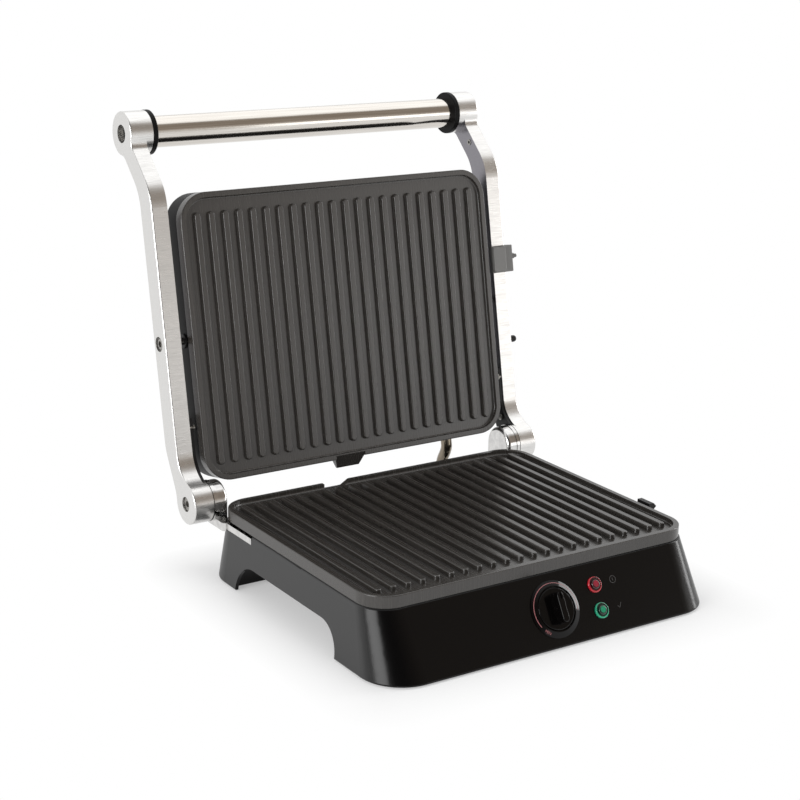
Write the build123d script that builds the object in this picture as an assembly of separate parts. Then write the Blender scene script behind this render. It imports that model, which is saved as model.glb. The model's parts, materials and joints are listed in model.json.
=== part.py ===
from build123d import *
import math
import os

# Panini press, open. Millimetres, X to the right, Y to the back, Z up from the surface it stands on.
# The pieces are drawn with the lower grill plate centred on X = Y = 0. The lid is drawn closed over
# it and then turned open about the hinge. Last, everything shifts to centre the outline on X and Y.

# Grill plates
plate_width = 300.0
plate_depth = 237.0
plate_corner = 24.0
plate_height = 9.5
plate_floor = 5.8
rim_width = 4.5
rim_round = 0.8
pocket_round = 1.6
rib_count = 22
rib_side = 15.6
rib_width = 6.0
rib_height = 3.4
rib_draft = 10.0
rib_round = 0.8
rib_front_margin = 16.0
rib_rear_margin = 13.5
lip_inset = 5.5
lip_width = 4.5
plate_gap = 0.75
notch_start = -51.5
notch_width = 18.0
notch_ramp = 7.8
notch_depth = 4.7
spout_x = -11.8
spout_width = 29.0
spout_tip = 22.0
spout_reach = 8.0
spout_thickness = 8.0
spout_fall = 7.0
spout_start = 3.6

# Base housing
housing_top = 51.0
housing_edge = 1.2
housing_margin = 0.8
housing_lift = 1.0
seat_gap = 0.5
side_flare = 6.1
front_flare = 28.7
rear_flare = 11.5
foot_corner = 34.0
wall = 3.0
ledge_drop = 9.0
ledge_thickness = 2.5
ledge_width = 7.5
arch_from_edge = 42.0
arch_height = 25.4
arch_round = 23.8

# Bottom cover, feet and their screws
cover_base = 3.5
cover_thickness = 2.0
cover_fit = 0.4
tunnel_room = 1.5
foot_diameter = 15.0
foot_from_side = 30.9
foot_from_front = 26.0
foot_from_rear = 20.8
post_diameter = 9.0
post_top = 30.0
post_from_side = 42.0
post_from_front = 14.5
post_from_rear = 17.5
post_web = 3.0
cover_screw = 3.4
cover_screw_length = 14.0

# Heating
shield_sheet = 0.8
shield_inset = 6.0
tray_inset = 11.5
tray_depth = 8.0
element_diameter = 6.5
element_seat = 0.2
element_from_side = 38.0
element_from_front = 36.5
element_inner_x = 37.0
element_inner_y = 48.0
element_bend = 24.0
element_end_x = 45.0
plate_screw = 2.8
plate_screw_head = 5.0
plate_screw_head_height = 1.8

# Hinge and lid
hinge_back = 12.7
hinge_rise = -1.2
lid_open = 100.93
knuckle_radius = 17.0
knuckle_length = 12.8
knuckle_round = 3.2
knuckle_step = 0.5
knuckle_web = 3.0
heel_round = 9.0
heel_front_round = 3.6
heel_reach = 14.0
heel_blend = 3.4
heel_height = 6.8
boss_length = 17.3
washer_thickness = 0.5
washer_diameter = 22.0
washer_room = 0.1
pin_diameter = 8.0
pin_reach = 10.0
pin_head = 11.0
pin_head_height = 3.4
pin_sink = 5.0
pin_sink_room = 0.7
socket_across = 5.0
socket_depth = 2.0
running_room = 0.05
bar_height = 5.2
bar_length = 55.0
bar_width = 5.9
bar_drop = 1.4
notch_room = 0.3
bracket_screw = 3.0
bracket_screw_head = 5.2
bracket_screw_length = 14.0
bracket_screw_back = 15.0
bracket_screw_pitch = 24.0
bracket_screw_sink = 2.0
bracket_block_width = 4.4

# Arms
arm_gap = 8.0
arm_width = 14.3
arm_front = 7.7
arm_back = 28.7
arm_start = 43.0
shoulder_angle = 18.8
neck_angle = 35.5
neck_width = 17.2
neck_share = 0.35
neck_round = 40.0
arm_edge = 1.4
hinge_blend = 28.0
handle_blend = 8.0
handle_reach = 52.3
handle_rise = 50.0
handle_boss_radius = 18.2
handle_boss_length = 20.3

# Handle
tube_diameter = 26.0
tube_wall = 1.5
collar_diameter = 37.0
collar_thickness = 4.6
plug_length = 14.0
plug_room = 0.1
handle_screw = 6.0
handle_screw_head = 11.0
handle_screw_head_height = 4.0
handle_screw_sink = 10.0
handle_sink_diameter = 15.0
handle_screw_length = 24.0

# Floating pivot, stop plates and buffer
pivot_behind_middle = 0.9
pivot_rise = 19.5
pivot_diameter = 6.0
pivot_head = 9.5
pivot_head_height = 2.7
pivot_sink = 3.6
pivot_sink_diameter = 12.4
bush_diameter = 9.5
bush_flange = 12.0
bush_flange_thickness = 1.2
bush_reach = 1.8
stop_start = 6.0
stop_end = 68.0
stop_inset = 0.8
stop_room = 0.6
stop_thickness = 3.2
stop_screw_along = 23.1
stop_screw_rise = 9.8
stop_screw_pitch = 37.0
stop_screw = 3.0
stop_screw_head = 5.6
stop_screw_head_height = 1.6
stop_screw_length = 9.0
buffer_along = 92.5
buffer_rise = 12.5
buffer_diameter = 6.2
buffer_length = 7.8
buffer_stem = 3.0
buffer_stem_length = 7.0

# Lid lock
lock_from_front = 83.1
lock_length = 24.0
lock_face = 2.6
lock_side = 5.5
lock_lip = 8.0
lock_room = 0.3
lock_button_height = 4.6
lock_button_width = 12.9
lock_button_length = 22.4
lock_pin = 5.0
lock_pin_length = 5.9
lock_pin_offset = 1.4
lock_pin_rise = 7.0
lock_tip = 3.4
lock_tip_length = 2.7
catch_from_front = 62.0
catch_length = 15.0
catch_width = 7.5
catch_top = 61.6
catch_foot = 34.0
catch_hook = 3.0

# Upper housing and cover
upper_height = 14.2
crown_height = 11.5
crown_round = 9.0
crown_wall = 2.5
crown_lip = 1.8
crown_lip_width = 1.5

# Dial and lamps, placed on the sloping front panel
dial_x = 2.4
dial_down = 27.9
bezel_diameter = 44.0
bezel_opening = 34.0
bezel_rim = 0.6
bezel_height = 2.4
knob_diameter = 32.4
knob_lift = 0.6
knob_disc = 2.0
knob_height = 12.0
grip_width = 7.0
grip_length = 24.6
grip_draft = 4.0
pointer_width = 1.8
pointer_length = 6.0
pointer_depth = 0.9
shaft_diameter = 6.0
shaft_inside = 13.0
shaft_engage = 7.0
shaft_room = 0.5
thermostat_width = 32.0
thermostat_height = 24.0
thermostat_depth = 16.0
lamp_x = 44.0
lamp_downs = (17.3, 37.5)
lamp_flange = 12.4
lamp_flange_height = 1.7
lamp_stem = 8.6
lamp_stem_length = 9.0
lamp_dome = 7.6
lamp_dome_rise = 1.2
lamp_groove = 0.9
holder_diameter = 11.0
holder_length = 12.0
hole_room = 0.1
face_room = 0.3

# Wiring between base and lid, and the lead's inlet
conduit_from_side = 52.0
conduit_diameter = 10.0
conduit_rise = 18.0
conduit_base_z = 21.0
conduit_inside = 4.0
gland_diameter = 16.0
gland_height = 4.0
lid_gland_height = 1.2
gland_stem = 12.4
gland_depth = 2.0
inlet_from_side = 80.0
inlet_z = 22.0
inlet_bore = 7.4
terminal_size = (44.0, 18.0, 14.0)
terminal_from_rear = 18.5
terminal_hole = 3.0
terminal_ways = 3
fuse_diameter = 5.0
fuse_length = 22.0
fuse_from_rear = 58.5

# Places that follow from the sizes above
half_width = plate_width / 2
half_depth = plate_depth / 2
rib_pitch = (plate_width - 2 * rib_side) / (rib_count - 1)
arch_half = half_depth - arch_from_edge
foot_x = half_width + housing_margin + side_flare - foot_from_side
foot_front_y = -half_depth - housing_margin - front_flare + foot_from_front
foot_rear_y = half_depth + housing_margin + rear_flare - foot_from_rear
post_x = half_width - post_from_side
post_front_y = -half_depth + post_from_front
post_rear_y = half_depth - post_from_rear
element_half_width = half_width - element_from_side
element_half_depth = half_depth - element_from_front
arm_outer = half_width + arm_gap + arm_width
handle_along = hinge_back + plate_depth + handle_reach
pivot_along = hinge_back + half_depth - pivot_behind_middle
lock_along = hinge_back + plate_depth - lock_from_front
catch_y = -half_depth + catch_from_front
conduit_x = half_width - conduit_from_side
inlet_x = -half_width + inlet_from_side
terminal_x = inlet_x
terminal_y = half_depth - terminal_from_rear
fuse_y = half_depth - fuse_from_rear
plate_base = housing_top + seat_gap
rim_top = plate_base + plate_height
rib_floor = plate_base + plate_floor
ledge_top = housing_top - ledge_drop
mirror_height = rim_top + plate_gap / 2
hinge_y = half_depth + hinge_back
hinge_z = rim_top + hinge_rise
panel_slope = math.atan2(front_flare, housing_top - housing_lift)
rear_slope = math.atan2(rear_flare, housing_top - housing_lift)
panel_wall = wall * math.cos(panel_slope)
rear_wall = wall * math.cos(rear_slope)
upper_base = 2 * mirror_height - housing_top
upper_top = upper_base + upper_height
boss_inner = arm_outer - boss_length
arm_inner = arm_outer - arm_width
handle_inner = arm_outer - handle_boss_length
knuckle_outer = boss_inner - washer_thickness - washer_room
knuckle_inner = knuckle_outer - knuckle_length
collar_inner = handle_inner - collar_thickness
bar_outer = half_width + housing_margin + bar_drop / 2
bar_top = housing_top - bar_drop
hinge_axis = Axis((0, hinge_y, hinge_z), (1, 0, 0))


def outline(z, inset):
    """The base's rounded outline at height z, drawn in from the outer wall."""
    drop = (housing_top - z) / (housing_top - housing_lift)
    out = housing_margin - inset
    reach = half_width + side_flare * drop + out
    front = -half_depth - front_flare * drop - out
    rear = half_depth + rear_flare * drop + out
    corner = plate_corner + (foot_corner - plate_corner) * drop + out
    place = Pos(0, (front + rear) / 2, z)
    return place * RectangleRounded(2 * reach, rear - front, corner)


def base_form(low, high, inset=0.0):
    return loft([outline(low, inset), outline(high, inset)], ruled=True)


def plate_outline(inset):
    return RectangleRounded(plate_width - 2 * inset, plate_depth - 2 * inset, plate_corner - inset)


def slab(sketch, low, high):
    return extrude(Pos(0, 0, low) * sketch, amount=high - low, dir=(0, 0, 1))


def ring(outer, inner, low, high):
    return slab(plate_outline(outer) - plate_outline(inner), low, high)


def across(sketch, start, end):
    """Extrudes a sketch drawn in Y and Z along X."""
    return extrude(Plane.YZ.offset(start) * sketch, amount=end - start, dir=(1, 0, 0))


def rod(radius, start, end, y, z):
    return across(Pos(y, z) * Circle(radius), start, end)


def pillar(radius, x, y, low, high):
    return Pos(x, y, low) * extrude(Circle(radius), amount=high - low)


def lid_spot(along, rise):
    """A point beside the closed lid: along from the hinge to the front, rise above the hinge."""
    return (hinge_y - along, hinge_z + rise)


def mirrored(shape):
    return shape.mirror(Plane.YZ)


def turned_over(shape):
    """The upper twin of a lower piece, face to face with it in the closed press."""
    return shape.mirror(Plane.XY.offset(mirror_height))


def opened(shape):
    return shape.rotate(hinge_axis, -lid_open)


def both_sides(shape):
    return [shape, mirrored(shape)]


def corner_spots(inset):
    """Four places on the plate's corner bisectors at a given inset from its outer wall."""
    reach = (plate_corner - inset) / math.sqrt(2)
    x = half_width - plate_corner + reach
    y = half_depth - plate_corner + reach
    return [(sx * x, sy * y) for sx in (-1, 1) for sy in (-1, 1)]


def panel_plane(x, down):
    """A plane on the sloping front panel: local Y up the slope, local Z out of the panel."""
    y = -half_depth - housing_margin - down * math.sin(panel_slope)
    z = housing_top - down * math.cos(panel_slope)
    outwards = (0, -math.cos(panel_slope), math.sin(panel_slope))
    return Plane(origin=(x, y, z), x_dir=(1, 0, 0), z_dir=outwards)


def rear_plane(x, z):
    """A plane on the sloping rear wall, with local Z out of the wall."""
    y = half_depth + housing_margin + (housing_top - z) * math.tan(rear_slope)
    outwards = (0, math.cos(rear_slope), math.sin(rear_slope))
    return Plane(origin=(x, y, z), x_dir=(-1, 0, 0), z_dir=outwards)


def stub(plane, radius, low, high):
    return plane * Pos(0, 0, low) * extrude(Circle(radius), amount=high - low)


def hex_socket(plane, depth):
    return plane * extrude(RegularPolygon(socket_across / 2, 6, major_radius=False), amount=-depth)


plate_screw_spots = corner_spots(lip_inset + lip_width / 2)
stop_screw_spots = [
    lid_spot(along, stop_screw_rise) for along in (stop_screw_along, stop_screw_along + stop_screw_pitch)
]
cover_screw_spots = [(sx * post_x, y) for sx in (-1, 1) for y in (post_front_y, post_rear_y)]


def grill_plate():
    block = slab(plate_outline(0), plate_base, rim_top)
    block = fillet(block.edges().group_by(Axis.Z)[-1], rim_round)
    pocket = slab(plate_outline(rim_width), rib_floor, rim_top + 1)
    pocket = fillet(pocket.edges().group_by(Axis.Z)[0], pocket_round)
    block -= pocket
    rib_length = plate_depth - rib_front_margin - rib_rear_margin
    rib_y = (rib_front_margin - rib_rear_margin) / 2
    rib = extrude(Rot(0, 0, 90) * SlotOverall(rib_length, rib_width), amount=rib_height, taper=rib_draft)
    rib = fillet(rib.edges().group_by(Axis.Z)[-1], rib_round)
    ribs = [Pos(p.position.X, rib_y, rib_floor) * rib for p in GridLocations(rib_pitch, 1, rib_count, 1)]
    lip = ring(lip_inset, lip_inset + lip_width, ledge_top + shield_sheet + face_room, plate_base)
    block = block + [lip] + ribs
    for x, y in plate_screw_spots:
        block -= pillar(plate_screw / 2 + hole_room, x, y, ledge_top, plate_base)
    return block


def lower_grill_plate():
    """The rear rim has a drain notch: one end upright, the other a ramp."""
    low = rim_top - notch_depth
    ramp_start = notch_start + notch_width
    ramp_end = ramp_start + notch_ramp * (1 + 1 / notch_depth)
    profile = [(notch_start, low), (ramp_start, low), (ramp_end, rim_top + 1), (notch_start, rim_top + 1)]
    plane = Plane(origin=(0, half_depth + 1, 0), x_dir=(1, 0, 0), z_dir=(0, -1, 0))
    notch = extrude(plane * Polygon(*profile, align=None), amount=2 * rim_width, dir=(0, -1, 0))
    return grill_plate() - notch


def upper_grill_plate():
    edge = half_depth
    tip = edge + spout_reach
    corners = [
        (spout_x - spout_width / 2, edge - rim_width),
        (spout_x + spout_width / 2, edge - rim_width),
        (spout_x + spout_width / 2, edge),
        (spout_x + spout_tip / 2, tip),
        (spout_x - spout_tip / 2, tip),
        (spout_x - spout_width / 2, edge),
    ]
    rim = rim_top - rim_round
    spout = slab(Polygon(*corners, align=None), rim - spout_thickness, rim)
    slope = Polygon((edge - spout_start, rim_top), (tip, rim_top - spout_fall), (tip, rim_top), align=None)
    plate = grill_plate() + spout - across(slope, spout_x - spout_width / 2, spout_x + spout_width / 2)
    return turned_over(plate)


def heating_element():
    points = [
        (-element_end_x, element_half_depth),
        (-element_half_width, element_half_depth),
        (-element_half_width, -element_half_depth),
        (-element_inner_x, -element_half_depth),
        (-element_inner_x, element_inner_y),
        (element_inner_x, element_inner_y),
        (element_inner_x, -element_half_depth),
        (element_half_width, -element_half_depth),
        (element_half_width, element_half_depth),
        (element_end_x, element_half_depth),
    ]
    height = plate_base - element_seat - element_diameter / 2
    path = FilletPolyline(*[(x, y, height) for x, y in points], radius=element_bend)
    section = Plane(origin=path @ 0, z_dir=path % 0) * Circle(element_diameter / 2)
    return sweep(section, path=path)


def heat_shield():
    top = ledge_top + shield_sheet
    tray = slab(plate_outline(tray_inset), ledge_top - tray_depth, top)
    tray -= slab(plate_outline(tray_inset + shield_sheet), ledge_top - tray_depth + shield_sheet, top)
    shield = tray + ring(shield_inset, tray_inset + shield_sheet / 2, ledge_top, top)
    for x, y in plate_screw_spots:
        shield -= pillar(plate_screw / 2 + hole_room, x, y, ledge_top, top)
    return shield


def plate_screws():
    screws = []
    under = ledge_top - ledge_thickness
    for x, y in plate_screw_spots:
        head = pillar(plate_screw_head / 2, x, y, under - plate_screw_head_height, under)
        screws.append(head + pillar(plate_screw / 2, x, y, under, plate_base - face_room))
    return screws


def arch_profile(room):
    low = -foot_corner
    high = arch_height + room
    arch = Pos(0, (low + high) / 2) * Rectangle(2 * (arch_half + room), high - low)
    return fillet(arch.vertices().group_by(Axis.Y)[-1], arch_round + room)


def bracket_profile(radius):
    """The hinge bracket from the side: round above the hinge, straight down to the bar's underside."""
    low = bar_top - heel_height
    return Pos(hinge_y, hinge_z) * Circle(radius) + Pos(hinge_y, (hinge_z + low) / 2) * Rectangle(
        2 * radius, hinge_z - low
    )


def bracket_notch():
    """The room that the hinge bracket takes out of the base's right rear corner."""
    inner = bar_outer - bar_width - notch_room
    slot = across(bracket_profile(knuckle_radius + notch_room), knuckle_inner - notch_room, arm_outer)
    for reach, height in ((bar_length, bar_height), (heel_reach, heel_height)):
        front = hinge_y - reach - knuckle_radius - notch_room
        slot += Pos(inner, front, bar_top - height) * Box(
            3 * bar_width, plate_depth, plate_height, align=(Align.MIN, Align.MIN, Align.MIN)
        )
    return slot


def bracket_screw_spots():
    front = hinge_y - bar_length - knuckle_radius
    first = front + bracket_screw_back
    x = bar_outer - bar_width / 2
    return [(x, first), (x, first + bracket_screw_pitch)]


def bracket_block():
    """The solid block inside the right wall that takes the bracket's screws."""
    (x, first), (_, last) = bracket_screw_spots()
    floor = bar_top - bar_height
    low = floor - bracket_screw_length
    return Pos(x, (first + last) / 2, (floor + low) / 2) * Box(
        bracket_block_width, last - first + 4 * bracket_screw, floor - low
    )


def base_housing():
    outer = base_form(housing_lift, housing_top)
    outer = fillet(outer.edges().group_by(Axis.Z)[-1], housing_edge)
    outer = fillet(outer.edges().group_by(Axis.Z)[0], housing_edge)
    shell = outer - base_form(housing_lift - 1, housing_top + 1, wall)
    rim_low = ledge_top - ledge_thickness
    ledge = base_form(rim_low, ledge_top, wall / 2) - slab(plate_outline(wall + ledge_width), 0, housing_top)
    shell += ledge
    posts = []
    for x, y in cover_screw_spots:
        reach = math.copysign(plate_width, x)
        web = Pos((x + reach) / 2, y, 0) * Box(
            abs(reach - x), post_web, 2 * post_top, align=(Align.CENTER, Align.CENTER, Align.CENTER)
        )
        posts.append(pillar(post_diameter / 2, x, y, 0, post_top) + web)
    above_cover = slab(Rectangle(2 * plate_width, 2 * plate_depth), cover_base + cover_thickness, post_top)
    for post in posts:
        shell += post & above_cover & outer
    for x, y in cover_screw_spots:
        shell -= pillar(cover_screw / 2 + hole_room, x, y, 0, cover_base + cover_screw_length)
    block = bracket_block() & outer
    shell = shell + block + mirrored(block)
    shell -= across(arch_profile(0), -plate_width, plate_width)
    shell = shell - bracket_notch() - mirrored(bracket_notch())
    for x, y in bracket_screw_spots():
        hole = pillar(bracket_screw / 2 + hole_room, x, y, ledge_top - bracket_screw_length, housing_top)
        shell = shell - hole - mirrored(hole)
    for x, y in plate_screw_spots:
        shell -= pillar(plate_screw / 2 + hole_room, x, y, rim_low, ledge_top)
    shell -= stub(panel_plane(dial_x, dial_down), shaft_diameter / 2 + shaft_room, -2 * wall, wall)
    for down in lamp_downs:
        shell -= stub(panel_plane(lamp_x, down), lamp_stem / 2 + hole_room, -2 * wall, wall)
    for x, z in ((conduit_x, conduit_base_z), (inlet_x, inlet_z)):
        shell -= stub(rear_plane(x, z), gland_stem / 2 + hole_room, -2 * wall, wall)
    return shell - Pos(half_width + wall / 2, catch_y, catch_foot + catch_hook) * Box(
        4 * wall, catch_length / 2 + 2 * face_room, 2 * catch_hook + 2 * face_room
    )


def bottom_cover():
    """Flat sheet with a tunnel that follows the two arches."""
    low = cover_base
    top = cover_base + cover_thickness
    sheet = Pos(0, (low + top) / 2) * Rectangle(2 * plate_depth, cover_thickness)
    above = Pos(0, low + plate_depth) * Rectangle(2 * plate_depth, 2 * plate_depth)
    tunnel = arch_profile(tunnel_room + cover_thickness) & above
    cover = across(sheet + tunnel - arch_profile(tunnel_room), -plate_width, plate_width)
    cover &= base_form(housing_lift, housing_top, wall + cover_fit)
    for x, y in cover_screw_spots:
        cover -= pillar(cover_screw / 2 + hole_room, x, y, low - 1, top + 1)
    return cover


def rubber_feet():
    spots = [(sx * foot_x, y) for sx in (-1, 1) for y in (foot_front_y, foot_rear_y)]
    feet = []
    for x, y in spots:
        foot = pillar(foot_diameter / 2, x, y, 0, cover_base)
        feet.append(fillet(foot.edges().group_by(Axis.Z)[0], rim_round))
    return feet


def cover_screws():
    screws = []
    for x, y in cover_screw_spots:
        head = pillar(cover_screw, x, y, cover_base - cover_screw / 2, cover_base)
        shank = pillar(cover_screw / 2, x, y, cover_base, cover_base + cover_screw_length - 1)
        screws.append(head + shank)
    return screws


def hinge_bracket():
    """Right bracket: knuckle behind the plate's corner and a bar let into the base's side."""
    web = knuckle_outer - knuckle_web
    front = hinge_y - bar_length - knuckle_radius
    top = bar_top
    outer = bar_outer
    bracket = None
    for radius, start, end in (
        (knuckle_radius - knuckle_step, knuckle_inner, web),
        (knuckle_radius, web, knuckle_outer),
    ):
        profile = bracket_profile(radius)
        feet = profile.vertices().group_by(Axis.Y)[0].sort_by(Axis.X)
        profile = fillet(feet[-1], heel_round)
        profile = fillet(profile.vertices().group_by(Axis.Y)[0].sort_by(Axis.X)[0], heel_front_round)
        plate = across(profile, start, end)
        if bracket is None:
            bracket = fillet(plate.edges().group_by(Axis.X)[0], knuckle_round)
        else:
            bracket += plate
    bracket += Pos(outer, front, top) * Box(
        bar_width, bar_length + knuckle_radius, bar_height, align=(Align.MAX, Align.MIN, Align.MAX)
    )
    heel = Pos(knuckle_outer, hinge_y - knuckle_radius - heel_reach, top) * Box(
        knuckle_outer - outer + bar_width, knuckle_radius + heel_reach, heel_height,
        align=(Align.MAX, Align.MIN, Align.MAX),
    )
    corner = heel.edges().filter_by(Axis.Z).sort_by(Axis.Y)[:2].sort_by(Axis.X)[-1]
    bracket += fillet(corner, heel_blend)
    for x, y in bracket_screw_spots():
        bracket -= pillar(bracket_screw / 2 + hole_room, x, y, top - 2 * bar_height, top + 1)
        bracket -= pillar(bracket_screw_head / 2 + hole_room, x, y, top - bracket_screw_sink, top + 1)
    bracket -= rod(pin_diameter / 2 + running_room, knuckle_outer - pin_reach, arm_outer, hinge_y, hinge_z)
    return bracket


def bracket_screws():
    top = bar_top
    sides = []
    for x, y in bracket_screw_spots():
        head = pillar(bracket_screw_head / 2, x, y, top - bracket_screw_sink, top)
        shank = pillar(bracket_screw / 2, x, y, top - bracket_screw_length, top - bracket_screw_sink)
        sides += [head + shank, mirrored(head + shank)]
    return sides


def hinge_pin():
    seat = arm_outer - pin_sink
    shank = rod(pin_diameter / 2, knuckle_outer - pin_reach + face_room, seat + washer_room, hinge_y, hinge_z)
    face = seat + washer_room + pin_head_height
    head = rod(pin_head / 2, seat + washer_room, face, hinge_y, hinge_z)
    place = Plane(origin=(face, hinge_y, hinge_z), z_dir=(1, 0, 0))
    return shank + head - hex_socket(place, socket_depth)


def hinge_washer():
    washer = rod(washer_diameter / 2, knuckle_outer, knuckle_outer + washer_thickness, hinge_y, hinge_z)
    return washer - rod(pin_diameter / 2 + running_room, knuckle_outer - 1, boss_inner + 1, hinge_y, hinge_z)


def bow(start, end, centre, long_way=False):
    """An arc about a centre between two points of the lid, the short way round or the long way."""
    radius = math.dist(start, centre)
    middle = [(start[i] + end[i]) / 2 - centre[i] for i in (0, 1)]
    reach = radius / math.hypot(*middle) * (-1 if long_way else 1)
    via = [centre[i] + middle[i] * reach for i in (0, 1)]
    return ThreePointArc(lid_spot(*start), lid_spot(*via), lid_spot(*end))


def blend(centre, radius, foot, heading, side, toward, rounding):
    """The hollow corner between a round boss and a straight edge of the arm: touches and centre."""
    lean = math.radians(heading)
    run = (math.cos(lean), math.sin(lean))
    out = (-side * run[1], side * run[0])
    height = out[0] * (foot[0] - centre[0]) + out[1] * (foot[1] - centre[1])
    reach = toward * math.sqrt((radius + rounding) ** 2 - (height + rounding) ** 2)
    hub = [centre[i] + out[i] * (height + rounding) + run[i] * reach for i in (0, 1)]
    on_edge = [hub[i] - out[i] * rounding for i in (0, 1)]
    share = radius / (radius + rounding)
    on_boss = [centre[i] + (hub[i] - centre[i]) * share for i in (0, 1)]
    return on_boss, on_edge, hub


def bend(before, corner, after, rounding):
    """A rounded corner between two straight edges: touches and centre."""
    back = [(before[i] - corner[i]) / math.dist(before, corner) for i in (0, 1)]
    ahead = [(after[i] - corner[i]) / math.dist(after, corner) for i in (0, 1)]
    half = math.acos(back[0] * ahead[0] + back[1] * ahead[1]) / 2
    run = rounding / math.tan(half)
    first = [corner[i] + back[i] * run for i in (0, 1)]
    last = [corner[i] + ahead[i] * run for i in (0, 1)]
    inward = [back[i] + ahead[i] for i in (0, 1)]
    reach = rounding / math.sin(half) / math.hypot(*inward)
    return first, last, [corner[i] + inward[i] * reach for i in (0, 1)]


def arm_profile():
    """The arm's side outline, from the hinge boss to the handle boss."""
    lean = math.radians(neck_angle)
    hinge = (0, 0)
    grip = (handle_along, handle_rise)
    off_axis = neck_width * neck_share
    neck_end = (grip[0] + off_axis * math.sin(lean), grip[1] - off_axis * math.cos(lean))
    knee = (neck_end[0] - (neck_end[1] - arm_front) / math.tan(lean), arm_front)
    back_end = (neck_end[0] - neck_width * math.sin(lean), neck_end[1] + neck_width * math.cos(lean))
    back_knee = (back_end[0] - (back_end[1] - arm_back) / math.tan(lean), arm_back)
    shoulder = (arm_start, arm_back)
    front = blend(hinge, knuckle_radius, (0, arm_front), 0, -1, 1, hinge_blend)
    back = blend(hinge, knuckle_radius, shoulder, shoulder_angle, 1, 1, hinge_blend)
    low = blend(grip, handle_boss_radius, neck_end, neck_angle, -1, -1, handle_blend)
    high = blend(grip, handle_boss_radius, back_end, neck_angle, 1, -1, handle_blend)
    front_turn = bend(front[1], knee, low[1], neck_round)
    back_turn = bend(high[1], back_knee, shoulder, neck_round)
    shoulder_turn = bend(back_knee, shoulder, back[1], neck_round)
    edges = [
        bow(front[0], front[1], front[2]),
        Line(lid_spot(*front[1]), lid_spot(*front_turn[0])),
        bow(front_turn[0], front_turn[1], front_turn[2]),
        Line(lid_spot(*front_turn[1]), lid_spot(*low[1])),
        bow(low[1], low[0], low[2]),
        bow(low[0], high[0], grip, True),
        bow(high[0], high[1], high[2]),
        Line(lid_spot(*high[1]), lid_spot(*back_turn[0])),
        bow(back_turn[0], back_turn[1], back_turn[2]),
        Line(lid_spot(*back_turn[1]), lid_spot(*shoulder_turn[0])),
        bow(shoulder_turn[0], shoulder_turn[1], shoulder_turn[2]),
        Line(lid_spot(*shoulder_turn[1]), lid_spot(*back[1])),
        bow(back[1], back[0], back[2]),
        bow(back[0], front[0], hinge, True),
    ]
    return make_face(edges)


def arm():
    """Right arm, with its hinge boss, handle boss and screw holes."""
    limb = across(arm_profile(), arm_inner, arm_outer)
    limb = fillet(limb.edges().group_by(Axis.X)[-1], arm_edge)
    boss_y, boss_z = lid_spot(0, 0)
    limb += rod(knuckle_radius, boss_inner, arm_outer - arm_edge, boss_y, boss_z)
    top_y, top_z = lid_spot(handle_along, handle_rise)
    limb += rod(handle_boss_radius, handle_inner, arm_outer - arm_edge, top_y, top_z)
    limb -= rod(pin_diameter / 2 + running_room, 0, 2 * arm_outer, boss_y, boss_z)
    limb -= rod(pin_head / 2 + pin_sink_room, arm_outer - pin_sink, 2 * arm_outer, boss_y, boss_z)
    limb -= rod(handle_screw / 2 + hole_room, 0, 2 * arm_outer, top_y, top_z)
    limb -= rod(handle_sink_diameter / 2, arm_outer - handle_screw_sink, 2 * arm_outer, top_y, top_z)
    pivot_y, pivot_z = lid_spot(pivot_along, pivot_rise)
    limb -= rod(pivot_diameter / 2 + hole_room, 0, 2 * arm_outer, pivot_y, pivot_z)
    limb -= rod(pivot_sink_diameter / 2, arm_outer - pivot_sink, 2 * arm_outer, pivot_y, pivot_z)
    for y, z in stop_screw_spots:
        limb -= rod(stop_screw / 2 + hole_room, 0, arm_inner + stop_screw_length, y, z)
    return limb


def right_arm():
    y, z = lid_spot(buffer_along, buffer_rise)
    return arm() - rod(buffer_stem / 2 + hole_room, arm_outer - buffer_stem_length - 1, arm_outer, y, z)


def handle_tube():
    y, z = lid_spot(handle_along, handle_rise)
    tube = rod(tube_diameter / 2, -collar_inner, collar_inner, y, z)
    return tube - rod(tube_diameter / 2 - tube_wall, -arm_outer, arm_outer, y, z)


def handle_collar():
    y, z = lid_spot(handle_along, handle_rise)
    disc = rod(collar_diameter / 2, collar_inner, handle_inner, y, z)
    disc = fillet(disc.edges(), rim_round)
    plug = rod(tube_diameter / 2 - tube_wall - plug_room, collar_inner - plug_length, collar_inner, y, z)
    bore = rod(handle_screw / 2 + hole_room, 0, arm_outer, y, z)
    return disc + plug - bore


def handle_screw_piece():
    y, z = lid_spot(handle_along, handle_rise)
    seat = arm_outer - handle_screw_sink
    shank = rod(handle_screw / 2, seat - handle_screw_length, seat, y, z)
    face = seat + handle_screw_head_height
    head = rod(handle_screw_head / 2, seat, face, y, z)
    return shank + head - hex_socket(Plane(origin=(face, y, z), z_dir=(1, 0, 0)), socket_depth)


def pivot_screw():
    y, z = lid_spot(pivot_along, pivot_rise)
    inner = half_width - wall - bush_reach + face_room
    seat = arm_outer - pivot_sink
    shank = rod(pivot_diameter / 2, inner, seat, y, z)
    face = seat + pivot_head_height
    head = rod(pivot_head / 2, seat, face, y, z)
    head = fillet(head.edges().group_by(Axis.X)[-1], rim_round)
    return shank + head - hex_socket(Plane(origin=(face, y, z), z_dir=(1, 0, 0)), socket_depth)


def pivot_bush():
    y, z = lid_spot(pivot_along, pivot_rise)
    side = half_width
    bush = rod(bush_diameter / 2, side - wall - bush_reach, side, y, z)
    bush += rod(bush_flange / 2, side, side + bush_flange_thickness, y, z)
    return bush - rod(pivot_diameter / 2 + running_room, 0, arm_outer, y, z)


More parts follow.
